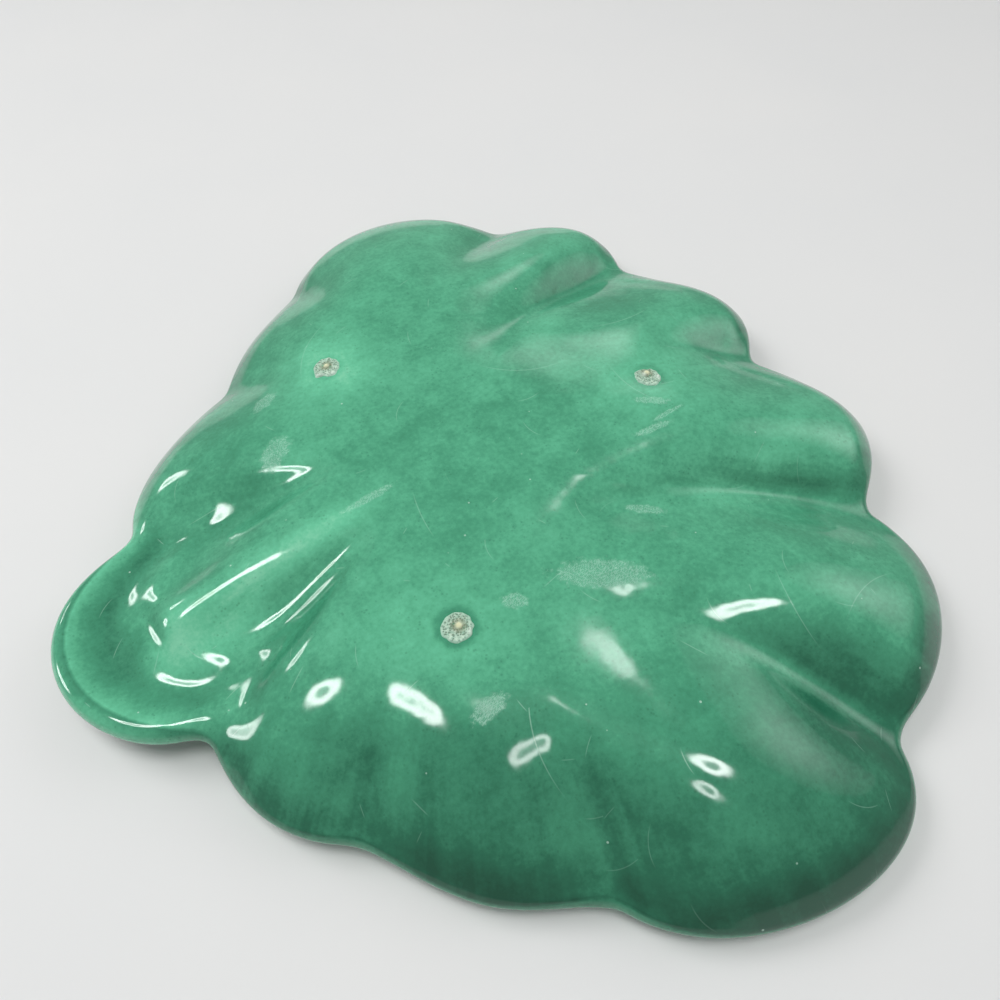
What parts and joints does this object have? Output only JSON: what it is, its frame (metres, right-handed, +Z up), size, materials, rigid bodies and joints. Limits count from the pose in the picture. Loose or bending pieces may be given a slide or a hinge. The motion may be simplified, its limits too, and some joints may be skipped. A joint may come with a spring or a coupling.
{
  "type": "trinket dish",
  "caption": "Shallow scallop-shell trinket dish with a small rounded handle tab, lying upside down on its wavy rim, its flat base on top.",
  "frame": {"origin": "middle of the bounding box at its bottom, in the plane that the rim rests on", "axes": "+Z up, the dish lying upside down as pictured; +X from the handle tab towards the far lobes of the shell; +Y across the shell"},
  "size_m": [0.1428, 0.162, 0.0167],
  "materials": {
    "glaze": "glossy mottled green glaze over a ceramic body",
    "bare_clay": "matt rough bare clay"
  },
  "bodies": {
    "root": {"dish_shell": "glaze", "stilt_mark_far": "bare_clay", "stilt_mark_left": "bare_clay", "stilt_mark_near": "bare_clay"}
  },
  "joints": []
}
